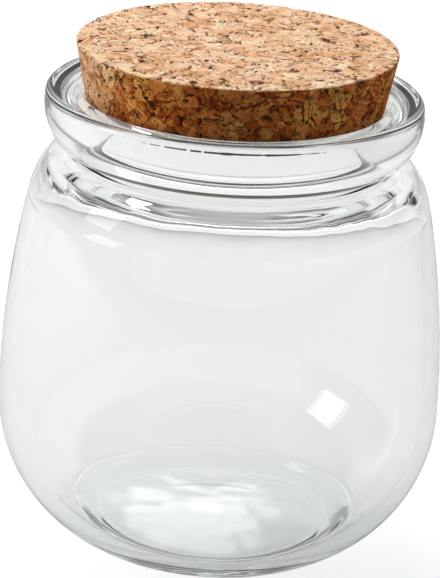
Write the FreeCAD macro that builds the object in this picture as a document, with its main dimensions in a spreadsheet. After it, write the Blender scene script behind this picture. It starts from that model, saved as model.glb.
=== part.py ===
"""Wide-mouthed storage jar of clear glass with a tapered cork stopper.

The jar is one revolved wall: a flat foot with a shallow push-up under it, a round
heel, a squat body that is widest low down, a short groove for a neck and a thick
beaded lip. The stopper is a disc of bonded cork granules that sits on the tapered
seat inside the mouth. Millimetres, +Z up, the origin where the jar's axis meets
the surface that the jar stands on.
"""
import FreeCAD, Part
import math
import os

import Sketcher

DRIVING_SIZES = {
    # jar body
    "body_diameter": 80.0,       # at the widest level
    "glass_height": 84.3,        # foot to the crest of the lip
    "widest_height": 26.5,       # level of the widest diameter
    "heel_radius": 15.5,         # arc from the foot up to the side
    "foot_cut": 0.5,             # how far the foot plane cuts into the heel's arc
    "heel_turn": 62.0,           # degrees below level where the heel meets the side
    "wall": 2.7,                 # glass thickness of the side
    "base_thickness": 5.5,       # foot to the inner bottom
    "inner_corner": 3.0,         # arc from the inner bottom to the side
    "foot_ring_width": 1.4,      # flat ring that the jar stands on
    "push_up_depth": 1.2,        # hollow under the base, inside the foot ring
    # shoulder and neck
    "shoulder_width": 11.0,      # neck wall to the widest diameter, on the radius
    "side_lean": 3.9,            # how far the side leans in below the shoulder
    "shoulder_turn": 42.0,       # degrees above level where the crown begins
    "crown_radius": 4.0,         # tighter arc at the top of the shoulder
    "crown_offset": 0.6,         # crown centre outside the neck wall
    "neck_fillet": 0.8,          # hollow arc from the crown to the neck wall
    "neck_length": 1.1,          # top of the crown to the underside of the bead
    # bead and lip
    "bead_overhang": 4.7,        # bead beyond the neck wall, on the radius
    "bead_depth": 10.3,          # crest of the lip to the underside of the bead
    "bead_belly_depth": 2.6,     # crest of the lip to the bead's widest level
    "bead_wall_radius": 11.0,    # gentle bulge of the bead's outside
    "bead_under_radius": 3.3,    # arc under the bead
    "lip_round": 1.3,            # outer corner of the lip
    "lip_slope": 9.0,            # degrees that the lip's top falls towards the mouth
    "mouth_round": 1.6,          # inner corner of the lip
    # mouth and stopper
    "neck_wall": 3.3,            # glass thickness at the neck, from bore to neck wall
    "seat_foot_depth": 6.0,      # crest of the lip to the lower end of the seat
    "bore_depth": 13.6,          # crest of the lip to the lower end of the bore
    "bore_round": 1.6,           # corner from the bore to the ceiling
    "ceiling_slope": 15.0,       # degrees that the ceiling inside the shoulder falls outwards
    "ceiling_round": 8.0,        # arc from the ceiling down to the inside of the wall
    "cork_taper": 11.3,          # degrees that the stopper's side leans, half angle
    "cork_height": 12.0,
    "cork_stand": 8.6,           # top of the stopper above the crest of the lip
    "cork_edge": 0.4,            # worn edges of the stopper
    "seat_clearance": 0.02,      # stopper to seat, on the radius
}


def make_sheet(document, sizes):
    """Write every driving size into a spreadsheet, one aliased cell each."""
    sheet = document.addObject("Spreadsheet::Sheet", "Sizes")
    for row, (name, value) in enumerate(sizes.items(), start=1):
        sheet.set(f"A{row}", name)
        sheet.set(f"B{row}", str(value))
        sheet.setAlias(f"B{row}", name)
    document.recompute()
    return sheet


class Section:
    """A closed outline of lines and arcs in a body's XZ plane, start to end."""

    def __init__(self, body, name):
        self.sketch = body.newObject("Sketcher::SketchObject", name)
        plane = next(item for item in body.Origin.OriginFeatures if item.Role == "XZ_Plane")
        self.sketch.AttachmentSupport = [(plane, "")]
        self.sketch.MapMode = "FlatFace"
        self.ends = []

    def line(self, start, end):
        edge = Part.LineSegment(FreeCAD.Vector(*start, 0), FreeCAD.Vector(*end, 0))
        self.ends.append((self.sketch.addGeometry(edge), 1, 2))
        return len(self.ends) - 1

    def arc(self, centre, radius, from_degrees, to_degrees):
        """Add an arc; one that runs clockwise is stored with its ends swapped."""
        low, high = sorted((math.radians(from_degrees), math.radians(to_degrees)))
        circle = Part.Circle(FreeCAD.Vector(*centre, 0), FreeCAD.Vector(0, 0, 1), radius)
        index = self.sketch.addGeometry(Part.ArcOfCircle(circle, low, high))
        self.ends.append((index, 1, 2) if to_degrees > from_degrees else (index, 2, 1))
        return len(self.ends) - 1

    def _add(self, *arguments):
        return self.sketch.addConstraint(Sketcher.Constraint(*arguments))

    def _bind(self, index, name, formula):
        self.sketch.renameConstraint(index, name)
        self.sketch.setExpression(f"Constraints.{name}", formula)

    def join(self, first, second, smooth=True):
        """Join the end of one edge to the start of the next."""
        kind = "Tangent" if smooth else "Coincident"
        first_index, _, first_end = self.ends[first]
        second_index, second_start, _ = self.ends[second]
        self._add(kind, first_index, first_end, second_index, second_start)

    def level(self, edge):
        self._add("Horizontal", self.ends[edge][0])

    def upright(self, edge):
        self._add("Vertical", self.ends[edge][0])

    def same_centre(self, first, second):
        self._add("Coincident", self.ends[first][0], 3, self.ends[second][0], 3)

    def centre_level_with_end(self, edge):
        index, _, end = self.ends[edge]
        self._add("Horizontal", index, 3, index, end)

    def centre_on_axis(self, edge):
        self._add("PointOnObject", self.ends[edge][0], 3, -2)

    def start_at_origin(self, edge):
        index, start, _ = self.ends[edge]
        self._add("Coincident", index, start, -1, 1)

    def end_on_axis(self, edge):
        index, _, end = self.ends[edge]
        self._add("PointOnObject", index, end, -2)

    def _position(self, edge, which):
        index, start, end = self.ends[edge]
        return index, {"start": start, "end": end, "centre": 3}[which]

    def across(self, name, edge, which, value, formula):
        """Set a point's distance from the axis."""
        self._bind(self._add("DistanceX", -1, 1, *self._position(edge, which), value), name, formula)

    def up(self, name, edge, which, value, formula):
        """Set a point's height."""
        self._bind(self._add("DistanceY", -1, 1, *self._position(edge, which), value), name, formula)

    def radius(self, name, edge, value, formula):
        self._bind(self._add("Radius", self.ends[edge][0], value), name, formula)

    def angle(self, name, edge, value, formula):
        """Set a line's direction from +X, in degrees."""
        constraint = self._add("Angle", self.ends[edge][0], math.radians(value))
        self._bind(constraint, name, f"({formula}) * 1 deg")

    def read_across(self, name, edge, which):
        """Add a reference dimension that other features can read."""
        index = self._add("DistanceX", -1, 1, *self._position(edge, which), 1.0)
        self.sketch.setDriving(index, False)
        self.sketch.renameConstraint(index, name)


def polar(centre, radius, degrees):
    """The point at an angle on a circle."""
    angle = math.radians(degrees)
    return (centre[0] + radius * math.cos(angle), centre[1] + radius * math.sin(angle))


def direction(start, end):
    """The angle of the line between two points, in degrees."""
    return math.degrees(math.atan2(end[1] - start[1], end[0] - start[0]))


def circle_centre(inner_centre, gap, level):
    """The centre at a level whose distance from another centre is the gap, on its right."""
    rise = level - inner_centre[1]
    return (inner_centre[0] + math.sqrt(gap * gap - rise * rise), level)


def wall_layout(size):
    """Work out where the wall's arcs and corners lie, for the outline to start from."""
    at = {}
    half = size["body_diameter"] / 2
    widest = size["widest_height"]
    crest = size["glass_height"]
    heel = size["heel_radius"]
    heel_level = heel - size["foot_cut"]
    turn = math.radians(size["heel_turn"])
    side = heel + (widest - heel_level) / math.sin(turn)
    at["side"] = ((half - side, widest), side)
    at["heel"] = ((half - side + (side - heel) * math.cos(turn), heel_level), heel)

    neck = half - size["shoulder_width"]
    crown = size["crown_radius"]
    crown_top = crest - size["bead_depth"] - size["neck_length"]
    at["crown"] = ((neck + size["crown_offset"], crown_top - crown), crown)
    shoulder_turn = size["shoulder_turn"]
    cosine = math.cos(math.radians(shoulder_turn))
    room = size["shoulder_width"] - size["side_lean"] - size["crown_offset"]
    shoulder = (room - crown * cosine) / (1 - cosine)
    at["shoulder"] = (polar(at["crown"][0], crown - shoulder, shoulder_turn), shoulder)
    inset = half - at["shoulder"][0][0]
    rise = at["shoulder"][0][1] - widest
    upper = (inset**2 + rise**2 - shoulder**2) / (2 * (inset - shoulder))
    at["upper_side"] = ((half - upper, widest), upper)
    fillet = size["neck_fillet"]
    drop = math.sqrt((crown + fillet) ** 2 - (fillet - size["crown_offset"]) ** 2)
    at["neck_fillet"] = ((neck + fillet, at["crown"][0][1] + drop), fillet)

    bead_wall = size["bead_wall_radius"]
    under = size["bead_under_radius"]
    bead_half = neck + size["bead_overhang"]
    bead_centre = (bead_half - bead_wall, crest - size["bead_belly_depth"])
    at["bead_wall"] = (bead_centre, bead_wall)
    under_level = crest - size["bead_depth"] + under
    at["bead_under"] = (circle_centre(bead_centre, bead_wall - under, under_level), under)
    lip = size["lip_round"]
    at["lip"] = (circle_centre(bead_centre, bead_wall - lip, crest - lip), lip)

    bore = neck - size["neck_wall"]
    at["seat_foot"] = (bore, crest - size["seat_foot_depth"])
    at["mouth"] = mouth_corner(at, size)
    wall = size["wall"]
    corner = size["inner_corner"]
    corner_level = size["base_thickness"] + corner
    corner_centre = circle_centre(at["side"][0], side - wall - corner, corner_level)
    at["inner_corner"] = (corner_centre, corner)
    bore_round = size["bore_round"]
    at["bore_round"] = ((bore + bore_round, crest - size["bore_depth"]), bore_round)
    at["ceiling_round"] = (ceiling_centre(at, size), size["ceiling_round"])
    return at


def ceiling_centre(at, size):
    """Centre of the arc that touches the sloping ceiling and the inside of the upper wall."""
    slope = size["ceiling_slope"]
    radius = size["ceiling_round"]
    side_centre, side = at["upper_side"]
    gap = side - size["wall"] - radius
    # the centre slides along a line parallel to the ceiling until it is one gap from the wall's centre
    start = polar(polar(*at["bore_round"], 270 - slope), radius, 270 - slope)
    along = polar((0, 0), 1, -slope)
    away = (start[0] - side_centre[0], start[1] - side_centre[1])
    half_way = away[0] * along[0] + away[1] * along[1]
    run = math.sqrt(half_way**2 - away[0] ** 2 - away[1] ** 2 + gap**2) - half_way
    return (start[0] + run * along[0], start[1] + run * along[1])


def mouth_corner(at, size):
    """Centre of the round between the sloping lip and the tapered seat."""
    slope = math.radians(size["lip_slope"])
    taper = math.radians(size["cork_taper"])
    round_radius = size["mouth_round"]
    lip_edge = polar(at["lip"][0], at["lip"][1], 90 + size["lip_slope"])
    # a line parallel to each side, one radius into the glass; the centre is where they cross
    lip_point = (lip_edge[0] + round_radius * math.sin(slope), lip_edge[1] - round_radius * math.cos(slope))
    foot = at["seat_foot"]
    seat_point = (foot[0] + round_radius * math.cos(taper), foot[1] - round_radius * math.sin(taper))
    along_lip = (-math.cos(slope), -math.sin(slope))
    along_seat = (math.sin(taper), math.cos(taper))
    gap = (seat_point[0] - lip_point[0], seat_point[1] - lip_point[1])
    cross = along_lip[0] * along_seat[1] - along_lip[1] * along_seat[0]
    run = (gap[0] * along_seat[1] - gap[1] * along_seat[0]) / cross
    return ((lip_point[0] + run * along_lip[0], lip_point[1] + run * along_lip[1]), round_radius)


def draw_wall(section, size):
    """Draw the jar's wall: up the outside, over the lip and down the inside."""
    at = wall_layout(size)
    centre = {name: place[0] for name, place in at.items()}
    half = size["body_diameter"] / 2
    neck = half - size["shoulder_width"]
    wall = size["wall"]
    base = size["base_thickness"]
    heel_turn = size["heel_turn"]
    heel_start = -math.degrees(math.asin(centre["heel"][1] / at["heel"][1]))
    shoulder_turn = size["shoulder_turn"]
    lean = direction(centre["upper_side"], centre["shoulder"])
    crown_end = direction(centre["crown"], centre["neck_fillet"])
    under_start = -math.degrees(math.acos((neck - centre["bead_under"][0]) / at["bead_under"][1]))
    under_end = direction(centre["bead_wall"], centre["bead_under"])
    lip_start = direction(centre["bead_wall"], centre["lip"])
    lip_end = 90 + size["lip_slope"]
    seat_start = 180 - size["cork_taper"]
    ceiling_up = 90 - size["ceiling_slope"]
    ceiling_end = direction(centre["upper_side"], centre["ceiling_round"])
    corner_start = direction(centre["side"], centre["inner_corner"])
    neck_foot = (neck, centre["neck_fillet"][1])
    neck_top = polar(*at["bead_under"], under_start)
    bottom_edge = (centre["inner_corner"][0], base)
    bore_foot = (at["seat_foot"][0], centre["bore_round"][1])

    edge = {}
    edge["foot"] = section.line((0, 0), polar(*at["heel"], heel_start))
    edge["heel"] = section.arc(*at["heel"], heel_start, -heel_turn)
    edge["side"] = section.arc(*at["side"], -heel_turn, 0)
    edge["upper_side"] = section.arc(*at["upper_side"], 0, lean)
    edge["shoulder"] = section.arc(*at["shoulder"], lean, shoulder_turn)
    edge["crown"] = section.arc(*at["crown"], shoulder_turn, crown_end)
    edge["neck_fillet"] = section.arc(*at["neck_fillet"], crown_end + 180, 180)
    edge["neck"] = section.line(neck_foot, neck_top)
    edge["bead_under"] = section.arc(*at["bead_under"], under_start, under_end)
    edge["bead_wall"] = section.arc(*at["bead_wall"], under_end, lip_start)
    edge["lip"] = section.arc(*at["lip"], lip_start, lip_end)
    edge["lip_top"] = section.line(polar(*at["lip"], lip_end), polar(*at["mouth"], lip_end))
    edge["mouth"] = section.arc(*at["mouth"], lip_end, seat_start)
    edge["seat"] = section.line(polar(*at["mouth"], seat_start), at["seat_foot"])
    edge["bore"] = section.line(at["seat_foot"], bore_foot)
    edge["bore_round"] = section.arc(*at["bore_round"], 180, 180 + ceiling_up)
    edge["ceiling"] = section.line(polar(*at["bore_round"], 180 + ceiling_up),
                                   polar(*at["ceiling_round"], ceiling_up))
    edge["ceiling_round"] = section.arc(*at["ceiling_round"], ceiling_up, ceiling_end)
    edge["inner_upper_side"] = section.arc(centre["upper_side"], at["upper_side"][1] - wall, ceiling_end, 0)
    edge["inner_side"] = section.arc(centre["side"], at["side"][1] - wall, 0, corner_start)
    edge["inner_corner"] = section.arc(*at["inner_corner"], corner_start, -90)
    edge["inner_bottom"] = section.line(bottom_edge, (0, base))
    edge["axis"] = section.line((0, base), (0, 0))

    corners = {("foot", "heel"), ("neck", "bead_under"), ("seat", "bore"), ("inner_bottom", "axis"),
               ("axis", "foot")}
    names = list(edge)
    for first, second in zip(names, names[1:] + names[:1]):
        section.join(edge[first], edge[second], smooth=(first, second) not in corners)
    section.start_at_origin(edge["foot"])
    section.end_on_axis(edge["inner_bottom"])
    for name in ("foot", "inner_bottom"):
        section.level(edge[name])
    for name in ("neck", "bore"):
        section.upright(edge[name])
    for outer, inner in (("side", "inner_side"), ("upper_side", "inner_upper_side")):
        section.same_centre(edge[outer], edge[inner])
    section.centre_level_with_end(edge["side"])
    return edge, at


def bind_wall(section, edge, at, size):
    """Tie the wall's outline to the spreadsheet."""
    half = "Sizes.body_diameter / 2"
    crest = "Sizes.glass_height"
    neck = f"{half} - Sizes.shoulder_width"
    crown_top = f"{crest} - Sizes.bead_depth - Sizes.neck_length"
    half_now = size["body_diameter"] / 2
    crest_now = size["glass_height"]
    neck_now = half_now - size["shoulder_width"]

    section.radius("heel_radius", edge["heel"], at["heel"][1], "Sizes.heel_radius")
    section.up("heel_level", edge["heel"], "centre", at["heel"][0][1], "Sizes.heel_radius - Sizes.foot_cut")
    section.up("heel_end", edge["heel"], "end", polar(*at["heel"], -size["heel_turn"])[1],
               "Sizes.heel_radius * (1 - sin(Sizes.heel_turn * 1 deg)) - Sizes.foot_cut")
    section.across("half_width", edge["side"], "end", half_now, half)
    section.up("widest_height", edge["side"], "end", size["widest_height"], "Sizes.widest_height")
    section.across("inner_half_width", edge["inner_upper_side"], "end", half_now - size["wall"],
                   f"{half} - Sizes.wall")

    crown_centre, crown = at["crown"]
    section.radius("crown_radius", edge["crown"], crown, "Sizes.crown_radius")
    section.across("crown_across", edge["crown"], "centre", crown_centre[0], f"{neck} + Sizes.crown_offset")
    section.up("crown_up", edge["crown"], "centre", crown_centre[1], f"{crown_top} - Sizes.crown_radius")
    section.up("shoulder_end", edge["shoulder"], "end", polar(crown_centre, crown, size["shoulder_turn"])[1],
               f"{crown_top} - Sizes.crown_radius * (1 - sin(Sizes.shoulder_turn * 1 deg))")
    cosine = "cos(Sizes.shoulder_turn * 1 deg)"
    section.radius("shoulder_radius", edge["shoulder"], at["shoulder"][1],
                   f"(Sizes.shoulder_width - Sizes.side_lean - Sizes.crown_offset"
                   f" - Sizes.crown_radius * {cosine}) / (1 - {cosine})")
    section.radius("neck_fillet", edge["neck_fillet"], size["neck_fillet"], "Sizes.neck_fillet")
    section.across("neck_radius", edge["neck"], "end", neck_now, neck)

    section.radius("bead_under_radius", edge["bead_under"], size["bead_under_radius"],
                   "Sizes.bead_under_radius")
    section.up("bead_under_up", edge["bead_under"], "centre", at["bead_under"][0][1],
               f"{crest} - Sizes.bead_depth + Sizes.bead_under_radius")
    section.radius("bead_wall_radius", edge["bead_wall"], size["bead_wall_radius"], "Sizes.bead_wall_radius")
    section.across("bead_wall_across", edge["bead_wall"], "centre", at["bead_wall"][0][0],
                   f"{neck} + Sizes.bead_overhang - Sizes.bead_wall_radius")
    section.up("bead_wall_up", edge["bead_wall"], "centre", at["bead_wall"][0][1],
               f"{crest} - Sizes.bead_belly_depth")
    section.radius("lip_round", edge["lip"], size["lip_round"], "Sizes.lip_round")
    section.up("lip_up", edge["lip"], "centre", at["lip"][0][1], f"{crest} - Sizes.lip_round")
    section.angle("lip_slope", edge["lip_top"], 180 + size["lip_slope"], "180 + Sizes.lip_slope")
    section.radius("mouth_round", edge["mouth"], size["mouth_round"], "Sizes.mouth_round")

    section.angle("seat_taper", edge["seat"], 270 - size["cork_taper"], "270 - Sizes.cork_taper")
    section.up("seat_foot_up", edge["seat"], "end", crest_now - size["seat_foot_depth"],
               f"{crest} - Sizes.seat_foot_depth")
    section.across("bore_radius", edge["seat"], "end", neck_now - size["neck_wall"],
                   f"{neck} - Sizes.neck_wall")
    section.up("bore_end", edge["bore"], "end", crest_now - size["bore_depth"],
               f"{crest} - Sizes.bore_depth")
    section.radius("bore_round", edge["bore_round"], size["bore_round"], "Sizes.bore_round")
    section.angle("ceiling_slope", edge["ceiling"], -size["ceiling_slope"], "0 - Sizes.ceiling_slope")
    section.radius("ceiling_round", edge["ceiling_round"], size["ceiling_round"], "Sizes.ceiling_round")
    section.radius("inner_corner", edge["inner_corner"], size["inner_corner"], "Sizes.inner_corner")
    section.up("base_thickness", edge["inner_bottom"], "end", size["base_thickness"], "Sizes.base_thickness")
    section.read_across("foot_outer_radius", edge["foot"], "end")


def revolve(body, section, kind, name):
    """Turn a section once round its sketch's vertical axis."""
    feature = body.newObject(kind, name)
    feature.Profile = section.sketch
    feature.ReferenceAxis = (section.sketch, ["V_Axis"])
    feature.Angle = 360.0
    return feature


def make_jar(document, size):
    body = document.addObject("PartDesign::Body", "GlassJar")
    body.Label = "glass_jar"
    section = Section(body, "WallSection")
    edge, at = draw_wall(section, size)
    bind_wall(section, edge, at, size)
    revolve(body, section, "PartDesign::Revolution", "Wall")
    document.recompute()
    add_push_up(document, body, section, size)
    body.Placement = FreeCAD.Placement()
    return body


def add_push_up(document, body, wall_section, size):
    """Hollow the underside inside the foot ring, to a shallow dome."""
    foot_edge = wall_section.sketch.getDatum("foot_outer_radius").Value
    reach = foot_edge - size["foot_ring_width"]
    depth = size["push_up_depth"]
    dome = (reach**2 + depth**2) / (2 * depth)
    half_angle = math.degrees(math.asin(reach / dome))
    section = Section(body, "PushUpSection")
    rim = section.line((0, 0), (reach, 0))
    cap = section.arc((0, depth - dome), dome, 90 - half_angle, 90)
    middle = section.line((0, depth), (0, 0))
    for first, second in ((rim, cap), (cap, middle), (middle, rim)):
        section.join(first, second, smooth=False)
    section.start_at_origin(rim)
    section.level(rim)
    section.upright(middle)
    section.centre_on_axis(cap)
    section.across("push_up_reach", rim, "end", reach,
                   "WallSection.Constraints.foot_outer_radius - Sizes.foot_ring_width * 1 mm")
    section.up("push_up_depth", cap, "end", depth, "Sizes.push_up_depth")
    before = body.Shape.Volume
    revolve(body, section, "PartDesign::Groove", "PushUp")
    document.recompute()
    assert body.Shape.Volume < before, "the push-up cut nothing"


def make_cork(document, size):
    body = document.addObject("PartDesign::Body", "CorkStopper")
    body.Label = "cork_stopper"
    taper = math.tan(math.radians(size["cork_taper"]))
    bore = size["body_diameter"] / 2 - size["shoulder_width"] - size["neck_wall"]
    top = size["glass_height"] + size["cork_stand"]
    foot = top - size["cork_height"]
    seat_foot = size["glass_height"] - size["seat_foot_depth"]
    top_radius = bore - size["seat_clearance"] + (top - seat_foot) * taper
    foot_radius = top_radius - size["cork_height"] * taper

    section = Section(body, "CorkSection")
    under = section.line((0, foot), (foot_radius, foot))
    side = section.line((foot_radius, foot), (top_radius, top))
    upper = section.line((top_radius, top), (0, top))
    middle = section.line((0, top), (0, foot))
    for first, second in ((under, side), (side, upper), (upper, middle), (middle, under)):
        section.join(first, second, smooth=False)
    for face in (under, upper):
        section.level(face)
    section.end_on_axis(upper)
    section.end_on_axis(middle)
    section.angle("taper", side, 90 - size["cork_taper"], "90 - Sizes.cork_taper")
    section.up("cork_foot", under, "start", foot,
               "Sizes.glass_height + Sizes.cork_stand - Sizes.cork_height")
    section.up("cork_top", upper, "start", top, "Sizes.glass_height + Sizes.cork_stand")
    section.across("cork_top_radius", upper, "start", top_radius,
                   "Sizes.body_diameter / 2 - Sizes.shoulder_width - Sizes.neck_wall - Sizes.seat_clearance"
                   " + (Sizes.cork_stand + Sizes.seat_foot_depth) * tan(Sizes.cork_taper * 1 deg)")
    disc = revolve(body, section, "PartDesign::Revolution", "Disc")
    document.recompute()
    rims = [f"Edge{number}" for number, edge in enumerate(disc.Shape.Edges, start=1)
            if isinstance(edge.Curve, Part.Circle)]
    worn = body.newObject("PartDesign::Fillet", "WornEdges")
    worn.Base = (disc, rims)
    worn.setExpression("Radius", "Sizes.cork_edge")
    document.recompute()
    body.Placement = FreeCAD.Placement()
    return body


def check(document, pieces):
    """Stop if any object failed to build."""
    for item in document.Objects:
        failed = {"Invalid", "Error"} & set(item.State)
        assert not failed, f"{item.Label}: {item.State}"
    for piece in pieces:
        shape = piece.Shape
        assert not shape.isNull() and shape.isValid(), f"{piece.Label} has no valid shape"
        assert len(shape.Solids) == 1, f"{piece.Label} has {len(shape.Solids)} solids"


def main():
    document = FreeCAD.newDocument("StorageJar")
    make_sheet(document, DRIVING_SIZES)
    pieces = [make_jar(document, DRIVING_SIZES), make_cork(document, DRIVING_SIZES)]
    document.recompute()
    check(document, pieces)
    os.makedirs("parts", exist_ok=True)
    for piece in pieces:
        piece.Shape.exportStep(f"parts/{piece.Label}.step")
        box = piece.Shape.optimalBoundingBox(False)
        print(f"{piece.Label}: {piece.Shape.Volume / 1000:.2f} cm3, "
              f"{box.XLength:.2f} x {box.YLength:.2f} x {box.ZLength:.2f} mm")


main()
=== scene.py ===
"""Looks of a squat glass storage jar and its cork stopper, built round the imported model."""

import math

import bmesh
import bpy
import numpy as np
from mathutils import Matrix, Vector, noise


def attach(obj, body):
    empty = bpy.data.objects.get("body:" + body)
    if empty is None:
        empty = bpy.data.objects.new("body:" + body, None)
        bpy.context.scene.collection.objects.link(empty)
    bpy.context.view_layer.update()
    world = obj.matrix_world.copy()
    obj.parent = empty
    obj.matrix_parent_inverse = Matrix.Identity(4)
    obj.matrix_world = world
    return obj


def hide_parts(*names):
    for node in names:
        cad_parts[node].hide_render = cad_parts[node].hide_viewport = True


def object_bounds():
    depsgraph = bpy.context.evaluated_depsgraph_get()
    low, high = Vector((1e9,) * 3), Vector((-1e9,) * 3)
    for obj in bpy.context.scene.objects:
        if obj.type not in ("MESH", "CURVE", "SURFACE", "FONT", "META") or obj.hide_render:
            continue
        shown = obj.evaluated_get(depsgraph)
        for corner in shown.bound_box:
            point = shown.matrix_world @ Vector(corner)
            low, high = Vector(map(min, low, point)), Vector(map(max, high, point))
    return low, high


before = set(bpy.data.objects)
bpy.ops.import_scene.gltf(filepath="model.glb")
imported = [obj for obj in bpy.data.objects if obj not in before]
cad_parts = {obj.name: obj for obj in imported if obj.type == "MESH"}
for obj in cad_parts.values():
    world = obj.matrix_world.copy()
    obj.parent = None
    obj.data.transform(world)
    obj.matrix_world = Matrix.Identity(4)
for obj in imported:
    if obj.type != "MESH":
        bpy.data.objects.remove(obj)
cad_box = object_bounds()

MM = 0.001
JAR = "glass_jar"
CORK = "cork_stopper"

# Camera, set for the picture's 440 x 578 frame.
IMAGE_HEIGHT = 578
SENSOR = 36.0
FOCAL_PIXELS = 3323.9
CAMERA_DISTANCE = 0.600
CAMERA_ELEVATION = math.radians(19.9)
CAMERA_ROLL = math.radians(3.27)
CAMERA_TARGET = Vector((-0.00075, 0.0, 0.04691))
CLIP = (0.01, 50.0)

# Outlines: points closer than WELD are one, a corner that turns more than CORNER_TURN stays sharp,
# and a point at which the outline turns less than IN_LINE is dropped.
WELD = 0.001 * MM
CORNER_TURN = math.radians(10)
IN_LINE = math.radians(0.3)

# Glass.
GLASS_TURNS = 208
GLASS_STEP = 1.0 * MM
GLASS_BEND = math.radians(4)
GLASS_IOR = 1.52
GLASS_TINT = (0.74, 0.87, 0.81, 1.0)
GLASS_DENSITY = 9.0
GLASS_BOUNCES = 24
GLOSS_BOUNCES = 8
# What is left of lamp light that has passed through the glass.
LAMP_LIGHT_LEFT = (0.93, 0.95, 0.94, 1.0)
# Unevenness of the moulded inside: lowest and highest level, size of the swells, most shift, in mm.
# A band that starts at 0 is whole at the foot; the others fade at both of their ends.
RIPPLES = (
    (0.0, 12.0, 5.5, 0.10),
    (0.0, 12.0, 2.6, 0.03),
    (12.0, 58.0, 14.0, 0.03),
    (57.0, 76.0, 6.0, 0.07),
    (57.0, 76.0, 2.4, 0.02),
)
# A band is whole where its fall is over 1 / RIPPLE_REACH; RIPPLE_SHARE of a shift goes out, and up.
RIPPLE_REACH = 1.6
RIPPLE_SHARE = 0.7

# Backdrop: paper that is lifted towards white, more so far from the object.
PAPER = (0.40, 0.40, 0.40, 1.0)
LIFT_CAMERA = 0.66
LIFT_FAR = 0.34
LIFT_FAR_REACH = (0.35, 0.90)
LIFT_GLASS = 0.265
LIFT_GLOSS = 0.12
FLOOR_RADIUS = 4.0
FLOOR_SIDES = 96
FLOOR_DROP = 0.02 * MM

# World. Directions are parts of a unit vector: across to the right, along away, and height.
WORLD_LIGHT = 0.08
HORIZON_BAND = (0.42, 0.55)
# Which ray, and how strong the horizon and the ceiling look to it.
WORLD_SEEN = (
    ("Is Glossy Ray", 0.42, 0.34),
    ("Is Transmission Ray", 1.0, 0.13),
)
# A soft window behind the jar, by across and height: its middle, where it is whole and where it ends.
WINDOW_CENTRE = (-0.017, 0.458)
WINDOW_INNER = (0.030, 0.040)
WINDOW_OUTER = (0.068, 0.095)
WINDOW_LIGHT = 2.3
# A dark side to the left: its range of across, and what is left of the light there.
DARK_SIDE = (-0.92, -0.62)
DARK_LEVEL = 0.30
# Over this range of along the ceiling falls from its share of the horizon, at the front, to its own.
CEILING_SIDE = (-0.60, -0.15)
CEILING_FRONT = 0.50

# Lamps: name, place, aim, size, watts, and whether glass and gloss show it.
LAMPS = (
    ("top_box", (-0.15, 0.30, 0.70), (0.0, 0.0, 0.05), (0.50, 0.40), 6.0, False),
    ("left_box", (-0.72, -0.16, 0.36), (0.0, 0.0, 0.05), (0.28, 0.30), 0.75, True),
    ("left_fill", (-0.80, 0.05, 0.30), (0.0, 0.0, 0.08), (0.30, 0.30), 3.8, False),
    ("right_fill", (0.80, -0.05, 0.30), (0.0, 0.0, 0.08), (0.30, 0.30), 1.2, False),
)

# Cork: sizes in millimetres where a name ends in _MM.
# Cells across each end of the mesh, and the steps and bends of its side.
CORK_CELLS = 150
CORK_STEP = 0.30 * MM
CORK_BEND = math.radians(20)
# Granules, crumbs and pores, and how far their edges wander.
GRANULE_MM = 3.0
CRUMB_MM = 1.3
PORE_MM = 0.95
PORE_STRETCH = (0.7, 1.5, 1.0)
WANDER_MM = 1.5
RAGGED_SHARE = 0.4
HALF = (0.5, 0.5, 0.5)
# Noise: scale per millimetre, detail and roughness.
WANDER_NOISE = (0.45,)
RAGGED_NOISE = (2.2,)
CRACK_NOISE = (0.40, 3.0, 0.6)
CRUMB_NOISE = (0.75, 3.0, 0.6)
SWIRL_NOISE = (0.55, 4.0, 0.62)
SPLIT_NOISE = (0.55, 2.0, 0.5)
GRAIN_NOISE = (4.5, 3.0, 0.75)
STREAK_NOISE = {"Scale": 1.9, "Detail": 3.0, "Roughness": 0.7}
# Shifts that keep noises of one kind from repeating each other.
CRACK_SHIFT = (31.0, 7.0, 3.0)
CRUMB_SHIFT = (5.0, 61.0, 17.0)
SWIRL_SHIFT = (11.0, 23.0, 41.0)
SPLIT_SHIFT = (71.0, 13.0, 29.0)
# Cracks: the distance from an edge over which one fades, and the noise range over which it opens.
CRACK_EDGE = (0.025, 0.11)
CRACK_OPEN = (0.57, 0.62)
CRUMB_EDGE = (0.04, 0.18)
CRUMB_OPEN = (0.57, 0.63)
SPLIT_EDGE = (0.006, 0.026)
SPLIT_OPEN = (0.54, 0.60)
PORE_EDGE = (0.12, 0.30)
PORE_OPEN = (0.86, 0.88)
# Depths of the mesh relief.
CRACK_DEPTH_MM = 0.28
LEVEL_DEPTH_MM = 0.07
STREAK_DEPTH_MM = 0.03
GRAIN_DEPTH_MM = 0.03
# How much granule, crumb and growth line add to the tone, and where the sum starts.
TONE_SHARES = (("tone", 0.72), ("crumb", 0.30), ("streak", 0.40))
TONE_START = 0.16
CORK_TONES = (
    (0.00, (0.48, 0.22, 0.10)),
    (0.25, (0.70, 0.38, 0.20)),
    (0.50, (0.80, 0.49, 0.29)),
    (0.72, (0.84, 0.56, 0.38)),
    (1.00, (0.90, 0.70, 0.45)),
)
CRACK_COLOUR = (0.055, 0.020, 0.008, 1.0)
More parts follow.
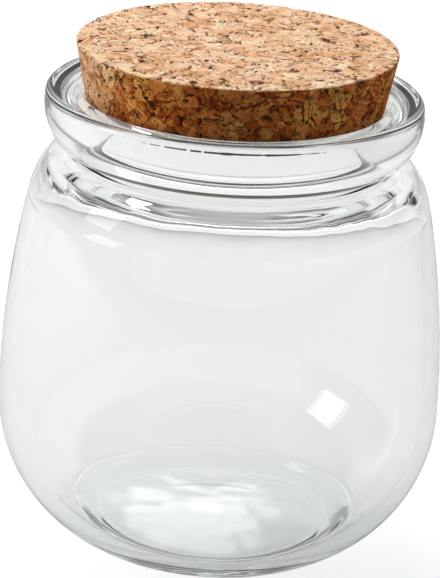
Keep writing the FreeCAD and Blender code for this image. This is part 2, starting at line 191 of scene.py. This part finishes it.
# Pale flakes, dark and pale growth lines, specks and seams laid over the tone, in that order:
# field, range, strengths at the ends of the range, colour, and how much stronger it is on the side.
OVERLAYS = (
    ("flake", (0.86, 0.90), (0.0, 0.55), (0.90, 0.67, 0.43, 1.0), 1.0),
    ("streak", (0.30, 0.46), (0.60, 0.0), (0.42, 0.19, 0.08, 1.0), 1.5),
    ("streak", (0.56, 0.70), (0.0, 0.45), (0.93, 0.74, 0.52, 1.0), 1.0),
    ("grain", (0.32, 0.48), (0.80, 0.0), (0.34, 0.14, 0.05, 1.0), 1.0),
    ("border", (0.0, 0.04), (0.35, 0.0), (0.28, 0.12, 0.05, 1.0), 1.0),
)
MARK_SHARE = 0.9
# The bump's height from each field, in millimetres.
CORK_BUMP = (("dark", -0.10), ("streak", 0.06), ("grain", 0.10))
CORK_ROUGHNESS = 0.85
CORK_SPECULAR = 0.2
# The side is deeper in tone than the top, partly its own colour and partly painted shade; left of this range
# it takes painted light.
SIDE_LIT_LEFT = (-26 * MM, -16 * MM)
SIDE_SHADE_DEPTH = 2.6
SIDE_SHADE_DEPTH_LIT = 1.5
SIDE_SHADE_TINT = (1.34, 1.30, 0.84, 1.0)
SIDE_LIT_TINT = (1.20, 1.32, 1.48, 1.0)
# Painted shade at the foot, which sits shadowed in the jar's mouth.
FOOT_SHADE_TINT = (0.25, 0.22, 0.20, 1.0)
# How far up the foot's painted shade goes, how deep the side's tone goes in, how it fades at the edges, and
# the band at each end in which the side's reach is taken.
FOOT_SHADE_REACH = 5.0 * MM
SIDE_REACH = 0.8 * MM
EDGE_REACH = 0.45 * MM
EDGE_BAND = 2.0 * MM
# Chips in the rim and dark knots: angle in degrees, drop below the top, reach and depth in mm.
CORK_MARKS = (
    (-41.0, 0.6, 1.9, 0.9),
    (-79.0, 5.0, 1.0, 0.35),
    (-107.0, 3.0, 0.8, 0.3),
    (-140.0, 7.2, 0.9, 0.3),
    (-22.0, 2.5, 0.9, 0.3),
    (-63.0, 1.8, 1.1, 0.3),
    (70.0, 0.3, 1.2, 0.5),
    (160.0, 0.4, 1.0, 0.4),
)
# A mark is flatter than round, and near the top it sinks by a share of how far it goes in.
MARK_SQUASH = 1.3
MARK_DIP = 0.5
MARK_DIP_REACH = 1.0 * MM


# ---------------------------------------------------------------- outlines read from the imported model

def cut_edges(node):
    """Pairs of points (x, z) where the half plane y = 0, x >= 0 cuts the node.

    The plane runs through the seam of the round faces, so the points lie on the true surface.
    """
    mesh = bmesh.new()
    mesh.from_mesh(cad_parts[node].data)
    bmesh.ops.remove_doubles(mesh, verts=mesh.verts, dist=WELD)
    for normal in ((0, 1, 0), (1, 0, 0)):
        parts = mesh.verts[:] + mesh.edges[:] + mesh.faces[:]
        bmesh.ops.bisect_plane(mesh, geom=parts, dist=WELD / 2, plane_co=(0, 0, 0), plane_no=normal)
    pairs = []
    for edge in mesh.edges:
        a, b = (corner.co for corner in edge.verts)
        flat = max(abs(a.y), abs(b.y)) < WELD
        if flat and min(a.x, b.x) > -WELD:
            pairs.append(((a.x, a.z), (b.x, b.z)))
    mesh.free()
    return pairs


def turn(before, here, after):
    """Signed angle by which an outline turns at a point."""
    first, second = here - before, after - here
    return math.atan2(first[0] * second[1] - first[1] * second[0], float(first @ second))


def read_outline(node):
    """The node's outline as points (radius, height), from its lowest point on the axis to its highest."""
    links = {}
    for a, b in cut_edges(node):
        keys = [tuple(round(value / WELD) for value in point) for point in (a, b)]
        for here, there in (keys, keys[::-1]):
            links.setdefault(here, set()).add(there)
    on_axis = sorted(key for key in links if abs(key[0]) <= 1 and len(links[key]) == 1)
    walk = [min(on_axis, key=lambda key: key[1])]
    seen = set(walk)
    while True:
        ahead = [key for key in links[walk[-1]] if key not in seen]
        if not ahead:
            break
        walk.append(ahead[0])
        seen.add(ahead[0])
    points = [np.array(key, float) * WELD for key in walk]
    kept = [points[0]]
    for here, after in zip(points[1:-1], points[2:]):
        if abs(turn(kept[-1], here, after)) > IN_LINE:
            kept.append(here)
    kept.append(points[-1])
    return kept


def direction(angle):
    """The unit vector at an angle."""
    return np.array((math.cos(angle), math.sin(angle)))


def lean(turns, lengths, chord, corner, neighbour):
    """How far a chord's curve leans away from it at a corner, or None at a sharp corner or an end."""
    if corner in (0, len(turns) - 1) or abs(turns[corner]) > CORNER_TURN:
        return None
    return turns[corner] * lengths[neighbour] / (lengths[neighbour] + lengths[chord])


def smooth_outline(points, step, most_turn):
    """Finer points along an outline of lines and arcs that keeps its sharp corners."""
    turns = [0.0] + [turn(*points[i - 1:i + 2]) for i in range(1, len(points) - 1)] + [0.0]
    chords = [after - here for here, after in zip(points, points[1:])]
    lengths = [float(np.linalg.norm(chord)) for chord in chords]
    fine = [points[0]]
    for i, (chord, length) in enumerate(zip(chords, lengths)):
        first = lean(turns, lengths, i, i, i - 1)
        last = lean(turns, lengths, i, i + 1, i + 1)
        first = (last or 0.0) if first is None else first
        last = first if last is None else last
        heading = math.atan2(chord[1], chord[0])
        start_way = direction(heading - first) * length
        end_way = direction(heading + last) * length
        bend = abs(first) + abs(last)
        pieces = max(1, math.ceil(length / step), math.ceil(bend / most_turn))
        for k in range(1, pieces + 1):
            t = k / pieces
            place = points[i] * (2 * t**3 - 3 * t**2 + 1) + points[i + 1] * (3 * t**2 - 2 * t**3)
            fine.append(place + start_way * (t**3 - 2 * t**2 + t) + end_way * (t**3 - t**2))
    return fine


# ---------------------------------------------------------------- meshes

def new_piece(name, vertices, faces, material):
    """A smooth-shaded mesh object of one material."""
    mesh = bpy.data.meshes.new(name)
    mesh.from_pydata(vertices, [], faces)
    mesh.materials.append(material)
    mesh.polygons.foreach_set("use_smooth", [True] * len(mesh.polygons))
    mesh.update()
    piece = bpy.data.objects.new(name, mesh)
    bpy.context.scene.collection.objects.link(piece)
    return piece


def lathe(name, outline, turns, material, shift=None):
    """A closed piece turned from an outline that starts and ends on the axis.

    The shift gives how far a ring's point moves out and up at an angle.
    """
    rings = outline[1:-1]
    angles = [2 * math.pi * k / turns for k in range(turns)]
    vertices = [(0.0, 0.0, outline[0][1]), (0.0, 0.0, outline[-1][1])]
    for index, (radius, height) in enumerate(rings):
        for angle in angles:
            out, up = shift(index, angle) if shift else (0.0, 0.0)
            reach = radius + out
            vertices.append((reach * math.cos(angle), reach * math.sin(angle), height + up))
    faces = []
    for k in range(turns):
        ahead = (k + 1) % turns
        faces.append((0, 2 + ahead, 2 + k))
        for ring in range(len(rings) - 1):
            low = 2 + ring * turns
            high = low + turns
            faces.append((low + k, low + ahead, high + ahead, high + k))
        last = 2 + (len(rings) - 1) * turns
        faces.append((last + k, last + ahead, 1))
    return new_piece(name, vertices, faces, material)


def make_glass(material):
    """The jar turned from its outline, with the slight unevenness a mould leaves on the inside."""
    outline = smooth_outline(read_outline(JAR), GLASS_STEP, GLASS_BEND)
    outline = [np.array((radius, max(height, cad_box[0].z))) for radius, height in outline]
    rings = outline[1:-1]
    crest = max(range(len(rings)), key=lambda index: rings[index][1])

    def shift(index, angle):
        if index <= crest:
            return 0.0, 0.0
        radius, height = rings[index]
        place = Vector((radius * math.cos(angle), radius * math.sin(angle), height)) / MM
        move = 0.0
        for low, high, swell, most in RIPPLES:
            middle, half = (low + high) / 2, (high - low) / 2
            share = smooth_fall(abs(place.z - middle), half) if low else smooth_fall(place.z, high)
            if share:
                move += most * MM * min(1.0, RIPPLE_REACH * share) * noise.noise(place / swell)
        return RIPPLE_SHARE * move, RIPPLE_SHARE * move

    piece = lathe("jar_glass", outline, GLASS_TURNS, material, shift)
    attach(piece, "root")
    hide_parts(JAR)


# ---------------------------------------------------------------- node graphs

class Graph:
    """Short calls for adding nodes to a shader or geometry tree."""

    def __init__(self, tree):
        self.tree = tree

    def add(self, kind, inputs=None, **settings):
        node = self.tree.nodes.new(kind)
        for name, value in settings.items():
            setattr(node, name, value)
        for name, value in (inputs or {}).items():
            self.put(value, node.inputs[name])
        return node

    def put(self, value, socket):
        """Link an output to a socket, or set the socket to a plain value."""
        if isinstance(value, bpy.types.NodeSocket):
            self.tree.links.new(value, socket)
        else:
            socket.default_value = value

    def math(self, operation, first, second=0.0, clamp=False):
        inputs = {0: first, 1: second}
        return self.add("ShaderNodeMath", inputs, operation=operation, use_clamp=clamp).outputs[0]

    def vector(self, operation, first, second=(0, 0, 0)):
        return self.add("ShaderNodeVectorMath", {0: first, 1: second}, operation=operation).outputs[0]

    def scaled(self, vector, factor):
        return self.add("ShaderNodeVectorMath", {0: vector, "Scale": factor}, operation="SCALE").outputs[0]

    def ramp(self, value, low, high, start=0.0, end=1.0):
        """The value carried from low..high to start..end, smoothly and within it."""
        inputs = {"Value": value, "From Min": low, "From Max": high, "To Min": start, "To Max": end}
        return self.add("ShaderNodeMapRange", inputs, interpolation_type="SMOOTHSTEP").outputs[0]

    def total(self, field, shares):
        """The sum of some of a field's values, each times its share."""
        (first, share), *others = shares
        value = self.math("MULTIPLY", field[first], share)
        for name, share in others:
            value = self.math("ADD", value, self.math("MULTIPLY", field[name], share))
        return value

    def noise(self, place, scale, detail=2.0, roughness=0.5):
        inputs = {"Vector": place, "Scale": scale, "Detail": detail, "Roughness": roughness}
        return self.add("ShaderNodeTexNoise", inputs)

    def cells(self, place, scale, feature="F1"):
        return self.add("ShaderNodeTexVoronoi", {"Vector": place, "Scale": scale}, feature=feature)

    def split(self, vector):
        return self.add("ShaderNodeSeparateXYZ", {0: vector}).outputs

    def mix(self, factor, first, second, blend="MIX"):
        node = self.add("ShaderNodeMix", data_type="RGBA", blend_type=blend)
        self.put(factor, node.inputs[0])
        self.put(first, node.inputs[6])
        self.put(second, node.inputs[7])
        return node.outputs[2]


def cork_fields(graph, place):
    """How granules, cracks, pores and growth lines vary over a place given in millimetres.

    The mesh relief and the material both call this, so they show the same granules.
    """
    away = graph.vector("SUBTRACT", graph.noise(place, *WANDER_NOISE).outputs["Color"], HALF)
    near = graph.vector("ADD", place, graph.scaled(away, WANDER_MM))
    ragged = graph.vector("SUBTRACT", graph.noise(place, *RAGGED_NOISE).outputs["Color"], HALF)
    near = graph.vector("ADD", near, graph.scaled(ragged, RAGGED_SHARE * WANDER_MM))
    granule = graph.cells(near, 1 / GRANULE_MM)
    crumb = graph.cells(near, 1 / CRUMB_MM)
    chance = graph.split(granule.outputs["Color"])
    crumb_chance = graph.split(crumb.outputs["Color"])
    border = graph.cells(near, 1 / GRANULE_MM, "DISTANCE_TO_EDGE").outputs["Distance"]
    crumb_border = graph.cells(near, 1 / CRUMB_MM, "DISTANCE_TO_EDGE").outputs["Distance"]

    def opened(distance, edge, gate, range_open):
        return graph.math("MULTIPLY", graph.ramp(distance, *edge, 1.0, 0.0), graph.ramp(gate, *range_open))

    gate = graph.noise(graph.vector("ADD", place, CRACK_SHIFT), *CRACK_NOISE).outputs[0]
    crack = opened(border, CRACK_EDGE, gate, CRACK_OPEN)
    gate = graph.noise(graph.vector("ADD", place, CRUMB_SHIFT), *CRUMB_NOISE).outputs[0]
    small_crack = opened(crumb_border, CRUMB_EDGE, gate, CRUMB_OPEN)
    hole = graph.cells(graph.vector("MULTIPLY", near, PORE_STRETCH), 1 / PORE_MM)
    pore = opened(hole.outputs["Distance"], PORE_EDGE, graph.split(hole.outputs["Color"])[0], PORE_OPEN)
    swirl = graph.noise(graph.vector("ADD", near, SWIRL_SHIFT), *SWIRL_NOISE).outputs[0]
    swirl = graph.math("ABSOLUTE", graph.math("SUBTRACT", swirl, 0.5))
    gate = graph.noise(graph.vector("ADD", place, SPLIT_SHIFT), *SPLIT_NOISE).outputs[0]
    split = opened(swirl, SPLIT_EDGE, gate, SPLIT_OPEN)
    dark = crack
    for other in (small_crack, pore, split):
        dark = graph.math("MAXIMUM", dark, other)

    across = graph.vector("NORMALIZE", graph.vector("SUBTRACT", granule.outputs["Color"], HALF))
    bent = graph.add("ShaderNodeVectorMath", {0: near, 1: across}, operation="DOT_PRODUCT").outputs["Value"]
    streak = graph.add("ShaderNodeTexNoise", {"W": bent, **STREAK_NOISE}, noise_dimensions="1D").outputs[0]
    grain = graph.noise(place, *GRAIN_NOISE).outputs[0]
    return {
        "dark": dark, "border": border, "streak": streak, "grain": grain,
        "tone": chance[0], "level": chance[1], "crumb": crumb_chance[0], "flake": crumb_chance[1],
    }


def new_material(name):
    """An empty node material, its graph and its output node."""
    material = bpy.data.materials.new(name)
    material.use_nodes = True
    material.node_tree.nodes.clear()
    graph = Graph(material.node_tree)
    return material, graph, graph.add("ShaderNodeOutputMaterial")


def glass_material():
    """Clear soda-lime glass that lets lamp light through and is faintly green where it is thick."""
    material, graph, output = new_material("clear_glass")
    glass = graph.add("ShaderNodeBsdfPrincipled", {
        "Base Color": (1.0, 1.0, 1.0, 1.0), "Roughness": 0.0, "IOR": GLASS_IOR, "Transmission Weight": 1.0})
    clear = graph.add("ShaderNodeBsdfTransparent", {"Color": LAMP_LIGHT_LEFT})
    path = graph.add("ShaderNodeLightPath")
    lit = graph.math("MAXIMUM", path.outputs["Is Shadow Ray"], path.outputs["Is Diffuse Ray"])
    mix = graph.add("ShaderNodeMixShader", {0: lit, 1: glass.outputs[0], 2: clear.outputs[0]})
    tint = graph.add("ShaderNodeVolumeAbsorption", {"Color": GLASS_TINT, "Density": GLASS_DENSITY})
    graph.put(mix.outputs[0], output.inputs["Surface"])
    graph.put(tint.outputs[0], output.inputs["Volume"])
    return material


def cork_material():
    """Bonded cork: granules of mixed tans with growth lines, dark open cracks and pores, with painted shade
    on the side and foot and painted light on the left of the side.
    """
    material, graph, output = new_material("cork")
    rest = graph.add("ShaderNodeAttribute", attribute_name="rest").outputs["Vector"]
    side = graph.add("ShaderNodeAttribute", attribute_name="side").outputs["Fac"]
    mark = graph.add("ShaderNodeAttribute", attribute_name="mark").outputs["Fac"]
    foot = graph.add("ShaderNodeAttribute", attribute_name="foot").outputs["Fac"]
    field = cork_fields(graph, graph.scaled(rest, 1 / MM))

    tone = graph.math("SUBTRACT", graph.total(field, TONE_SHARES), TONE_START, clamp=True)
    tones = graph.add("ShaderNodeValToRGB", {0: tone})
    ramp = tones.color_ramp
    while len(ramp.elements) < len(CORK_TONES):
        ramp.elements.new(0.5)
    for element, (place, colour) in zip(ramp.elements, CORK_TONES):
        element.position = place
        element.color = (*colour, 1.0)
    colour = tones.outputs[0]
    for name, span, strengths, paint, side_gain in OVERLAYS:
        gain = graph.ramp(side, 0.0, 1.0, 1.0, side_gain)
        strength = graph.math("MULTIPLY", graph.ramp(field[name], *span, *strengths), gain, clamp=True)
        colour = graph.mix(strength, colour, paint)
    # Painted shade deepens and tints the side; towards the left it is painted light instead.
    painted_left_light = graph.ramp(graph.split(rest)[0], *SIDE_LIT_LEFT, 1.0, 0.0)
    depth = graph.ramp(painted_left_light, 0.0, 1.0, SIDE_SHADE_DEPTH, SIDE_SHADE_DEPTH_LIT)
    depth = graph.add("ShaderNodeMix", {0: side, 2: 1.0, 3: depth}).outputs[0]
    colour = graph.add("ShaderNodeGamma", {0: colour, 1: depth}).outputs[0]
    colour = graph.mix(side, colour, graph.mix(painted_left_light, SIDE_SHADE_TINT, SIDE_LIT_TINT), "MULTIPLY")
    # Painted shade: darker towards the foot, which sits shadowed in the jar's mouth.
    colour = graph.mix(foot, colour, FOOT_SHADE_TINT, "MULTIPLY")
    dark = graph.math("MAXIMUM", field["dark"], graph.math("MULTIPLY", mark, MARK_SHARE))
    colour = graph.mix(dark, colour, CRACK_COLOUR)

    height = graph.total(field, CORK_BUMP)
    bump = graph.add("ShaderNodeBump", {"Strength": 1.0, "Distance": MM, "Height": height})
    surface = graph.add("ShaderNodeBsdfPrincipled", {
        "Base Color": colour, "Roughness": CORK_ROUGHNESS, "Specular IOR Level": CORK_SPECULAR,
        "Normal": bump.outputs[0]})
    graph.put(surface.outputs[0], output.inputs["Surface"])
    return material


def backdrop_material():
    """White paper: lit by the lamps, and lifted to white for whatever looks at it."""
    material, graph, output = new_material("backdrop")
    paper = graph.add("ShaderNodeBsdfDiffuse", {"Color": PAPER})
    path = graph.add("ShaderNodeLightPath")
    place = graph.add("ShaderNodeTexCoord").outputs["Object"]
    away = graph.add("ShaderNodeVectorMath", {0: place}, operation="LENGTH").outputs["Value"]
    camera_lift = graph.math("ADD", graph.ramp(away, *LIFT_FAR_REACH, 0.0, LIFT_FAR), LIFT_CAMERA)
    seen = graph.math("MULTIPLY", path.outputs["Is Camera Ray"], camera_lift)
    for ray, most in (("Is Transmission Ray", LIFT_GLASS), ("Is Glossy Ray", LIFT_GLOSS)):
        seen = graph.math("ADD", seen, graph.math("MULTIPLY", path.outputs[ray], most))
    lift = graph.add("ShaderNodeEmission", {"Color": (1.0, 1.0, 1.0, 1.0), "Strength": seen})
    both = graph.add("ShaderNodeAddShader", {0: paper.outputs[0], 1: lift.outputs[0]})
    graph.put(both.outputs[0], output.inputs["Surface"])
    return material


# ---------------------------------------------------------------- cork

def disc_grid(count):
    """Points of the unit disc in a grid of rows, and the indices round its rim by angle."""
    points = []
    rim = []
    for row in range(count + 1):
        for column in range(count + 1):
            a = 2 * column / count - 1
            b = 2 * row / count - 1
            if abs(a) > abs(b):
                reach, angle = a, math.pi / 4 * b / a
            elif b:
                reach, angle = b, math.pi / 2 - math.pi / 4 * a / b
            else:
                reach, angle = 0.0, 0.0
            place = (reach * math.cos(angle), reach * math.sin(angle))
            if max(abs(a), abs(b)) == 1.0:
                rim.append((math.atan2(place[1], place[0]) % (2 * math.pi), len(points)))
            points.append(place)
    return points, [index for _, index in sorted(rim)]


def cork_shell(name, material):
    """The stopper's outside as an even mesh: a grid on each end, rows of quads down the side."""
    outline = read_outline(CORK)
    fine = smooth_outline(outline, CORK_STEP, CORK_BEND)
    first, last = (next(i for i, place in enumerate(fine) if np.allclose(place, corner))
                   for corner in (outline[1], outline[-2]))
    rows = fine[first:last + 1]
    grid, rim = disc_grid(CORK_CELLS)
    vertices = [(x * rows[0][0], y * rows[0][0], rows[0][1]) for x, y in grid]
    vertices += [(x * rows[-1][0], y * rows[-1][0], rows[-1][1]) for x, y in grid]
    rings = [rim]
    for radius, height in rows[1:-1]:
        rings.append(list(range(len(vertices), len(vertices) + len(rim))))
        vertices += [(grid[i][0] * radius, grid[i][1] * radius, height) for i in rim]
    rings.append([index + len(grid) for index in rim])
    faces = []
    width = CORK_CELLS + 1
    for row in range(CORK_CELLS):
        for column in range(CORK_CELLS):
            corner = row * width + column
            quad = (corner, corner + 1, corner + width + 1, corner + width)
            faces.append(quad[::-1])
            faces.append(tuple(index + len(grid) for index in quad))
    for low, high in zip(rings, rings[1:]):
        for k in range(len(rim)):
            ahead = (k + 1) % len(rim)
            faces.append((low[k], low[ahead], high[ahead], high[k]))
    return new_piece(name, vertices, faces, material)


def smooth_fall(distance, reach):
    """One at no distance, falling smoothly to nothing at the reach."""
    t = np.clip(1 - distance / reach, 0.0, 1.0)
    return t * t * (3 - 2 * t)


def put_attribute(mesh, name, values, kind="FLOAT"):
    """Store one value, or one vector, on each of the mesh's points."""
    attribute = mesh.attributes.new(name, kind, "POINT")
    attribute.data.foreach_set("vector" if kind == "FLOAT_VECTOR" else "value", np.ravel(values))


def mark_cork(mesh):
    """Sink the chips and knots, and store what the material reads."""
    rest = np.empty(len(mesh.vertices) * 3)
    mesh.vertices.foreach_get("co", rest)
    rest = rest.reshape(-1, 3)
    top = rest[:, 2].max()
    foot = rest[:, 2].min()
    reach = np.hypot(rest[:, 0], rest[:, 1])
    top_reach = reach[rest[:, 2] > top - EDGE_BAND].max()
    slope = top_reach - reach[rest[:, 2] < foot + EDGE_BAND].max()
    slope /= top - foot - EDGE_BAND
    skin = top_reach - (top - rest[:, 2]) * slope
    ends = np.minimum(top - rest[:, 2], rest[:, 2] - foot)
    side = smooth_fall(np.maximum(skin - reach, 0.0), SIDE_REACH) * np.clip(ends / EDGE_REACH, 0.0, 1.0)
    put_attribute(mesh, "rest", rest, "FLOAT_VECTOR")
    put_attribute(mesh, "side", side)
    # How much painted shade darkens each point towards the foot.
    put_attribute(mesh, "foot", smooth_fall(rest[:, 2] - foot, FOOT_SHADE_REACH))
    marks = np.zeros(len(rest))
    moved = rest.copy()
    for degrees, drop, size, depth in CORK_MARKS:
        angle = math.radians(degrees)
        level = top - drop * MM
        out = reach.max() - drop * MM * slope
        centre = np.array((out * math.cos(angle), out * math.sin(angle), level))
        away = (rest - centre) * np.array((1.0, 1.0, MARK_SQUASH))
        fall = smooth_fall(np.linalg.norm(away, axis=1), size * MM)
        marks = np.maximum(marks, fall)
        inward = -np.column_stack((rest[:, 0], rest[:, 1], np.zeros(len(rest)))) / reach.max()
        inward[:, 2] = -MARK_DIP * smooth_fall(top - rest[:, 2], MARK_DIP_REACH)
        moved += inward * (fall * depth * MM)[:, None]
    put_attribute(mesh, "mark", marks)
    mesh.vertices.foreach_set("co", moved.ravel())
    mesh.update()


def carve_cork(piece):
    """Sink cracks, pores and growth lines into the mesh along its normals, and keep the result."""
    tree = bpy.data.node_groups.new("cork_relief", "GeometryNodeTree")
    tree.interface.new_socket(name="Geometry", in_out="INPUT", socket_type="NodeSocketGeometry")
    tree.interface.new_socket(name="Geometry", in_out="OUTPUT", socket_type="NodeSocketGeometry")
    graph = Graph(tree)
    start = graph.add("NodeGroupInput")
    rest = graph.add("GeometryNodeInputNamedAttribute", {"Name": "rest"}, data_type="FLOAT_VECTOR")
    field = cork_fields(graph, graph.scaled(rest.outputs[0], 1 / MM))
    depth = graph.math("MULTIPLY", field["dark"], CRACK_DEPTH_MM * MM)
    for name, most in (("level", LEVEL_DEPTH_MM), ("streak", STREAK_DEPTH_MM), ("grain", GRAIN_DEPTH_MM)):
        depth = graph.math("ADD", depth, graph.math("MULTIPLY", field[name], most * MM))
    normal = graph.add("GeometryNodeInputNormal").outputs[0]
    away = graph.scaled(normal, graph.math("MULTIPLY", depth, -1.0))
    moved = graph.add("GeometryNodeSetPosition", {"Geometry": start.outputs[0], "Offset": away})
    end = graph.add("NodeGroupOutput")
    graph.put(moved.outputs[0], end.inputs[0])
    modifier = piece.modifiers.new("relief", "NODES")
    modifier.node_group = tree
    seen = piece.evaluated_get(bpy.context.evaluated_depsgraph_get())
    carved = bpy.data.meshes.new_from_object(seen)
    piece.modifiers.clear()
    piece.data = carved
    bpy.data.node_groups.remove(tree)


def make_cork(material):
    """The stopper, with its marks and relief in the mesh."""
    piece = cork_shell("cork_disc", material)
    mark_cork(piece.data)
    carve_cork(piece)
    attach(piece, "root")
    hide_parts(CORK)


# ---------------------------------------------------------------- studio

def make_floor():
    """A round floor of backdrop paper, just under the foot."""
    bpy.ops.mesh.primitive_circle_add(vertices=FLOOR_SIDES, radius=FLOOR_RADIUS, fill_type="NGON",
                                      location=(0, 0, cad_box[0].z - FLOOR_DROP))
    floor = bpy.context.object
    floor.name = "floor"
    floor.data.materials.append(backdrop_material())


def make_world():
    """White to the camera; glass and gloss see a pale horizon, a dimmer ceiling and a soft window."""
    world = bpy.data.worlds.new("studio")
    bpy.context.scene.world = world
    world.use_nodes = True
    world.node_tree.nodes.clear()
    graph = Graph(world.node_tree)
    path = graph.add("ShaderNodeLightPath")
    across, along, height = graph.split(graph.add("ShaderNodeTexCoord").outputs["Generated"])
    window = graph.math("GREATER_THAN", along, 0.0)
    for level, centre, inner, outer in zip((across, height), WINDOW_CENTRE, WINDOW_INNER, WINDOW_OUTER):
        away = graph.math("ABSOLUTE", graph.math("SUBTRACT", level, centre))
        window = graph.math("MULTIPLY", window, graph.ramp(away, inner, outer, 1.0, 0.0))
    window = graph.math("MULTIPLY", window, WINDOW_LIGHT)
    shade = graph.ramp(across, *DARK_SIDE, DARK_LEVEL, 1.0)
    strength = WORLD_LIGHT
    for ray, low, high in WORLD_SEEN:
        ceiling = graph.ramp(along, *CEILING_SIDE, max(high, CEILING_FRONT * low), high)
        level = graph.math("MULTIPLY", graph.ramp(height, *HORIZON_BAND, low, ceiling), shade)
        level = graph.math("ADD", level, window)
        strength = graph.add("ShaderNodeMix", {0: path.outputs[ray], 2: strength, 3: level}).outputs[0]
    strength = graph.add("ShaderNodeMix", {0: path.outputs["Is Camera Ray"], 2: strength, 3: 1.0}).outputs[0]
    sky = graph.add("ShaderNodeBackground", {"Color": (1.0, 1.0, 1.0, 1.0), "Strength": strength})
    output = graph.add("ShaderNodeOutputWorld")
    graph.put(sky.outputs[0], output.inputs["Surface"])


def make_lamp(name, place, aim, size, watts, shown):
    """A rectangular area lamp turned to its aim."""
    lamp = bpy.data.lights.new(name, "AREA")
    lamp.shape = "RECTANGLE"
    lamp.size, lamp.size_y = size
    lamp.energy = watts
    holder = bpy.data.objects.new(name, lamp)
    holder.location = place
    holder.visible_glossy = shown
    holder.visible_transmission = shown
    holder.rotation_euler = (Vector(aim) - Vector(place)).to_track_quat("-Z", "Y").to_euler()
    bpy.context.scene.collection.objects.link(holder)


def make_camera():
    """A camera in front of the object, raised, aimed and rolled."""
    data = bpy.data.cameras.new("camera")
    data.sensor_width = SENSOR
    data.lens = FOCAL_PIXELS / IMAGE_HEIGHT * SENSOR
    data.clip_start, data.clip_end = CLIP
    camera = bpy.data.objects.new("camera", data)
    place = Vector((0.0, -CAMERA_DISTANCE * math.cos(CAMERA_ELEVATION),
                    CAMERA_TARGET.z + CAMERA_DISTANCE * math.sin(CAMERA_ELEVATION)))
    back = (place - CAMERA_TARGET).normalized()
    right = Vector((0, 0, 1)).cross(back).normalized()
    up = back.cross(right)
    across = math.cos(CAMERA_ROLL) * right + math.sin(CAMERA_ROLL) * up
    along = math.cos(CAMERA_ROLL) * up - math.sin(CAMERA_ROLL) * right
    turned = Matrix((across, along, back)).transposed()
    camera.matrix_world = Matrix.Translation(place) @ turned.to_4x4()
    bpy.context.scene.collection.objects.link(camera)
    bpy.context.scene.camera = camera


make_camera()
make_world()
make_floor()
for lamp in LAMPS:
    make_lamp(*lamp)
scene = bpy.context.scene
scene.view_settings.view_transform = "Standard"
scene.cycles.max_bounces = GLASS_BOUNCES
scene.cycles.transmission_bounces = GLASS_BOUNCES
scene.cycles.glossy_bounces = GLOSS_BOUNCES
make_glass(glass_material())
make_cork(cork_material())
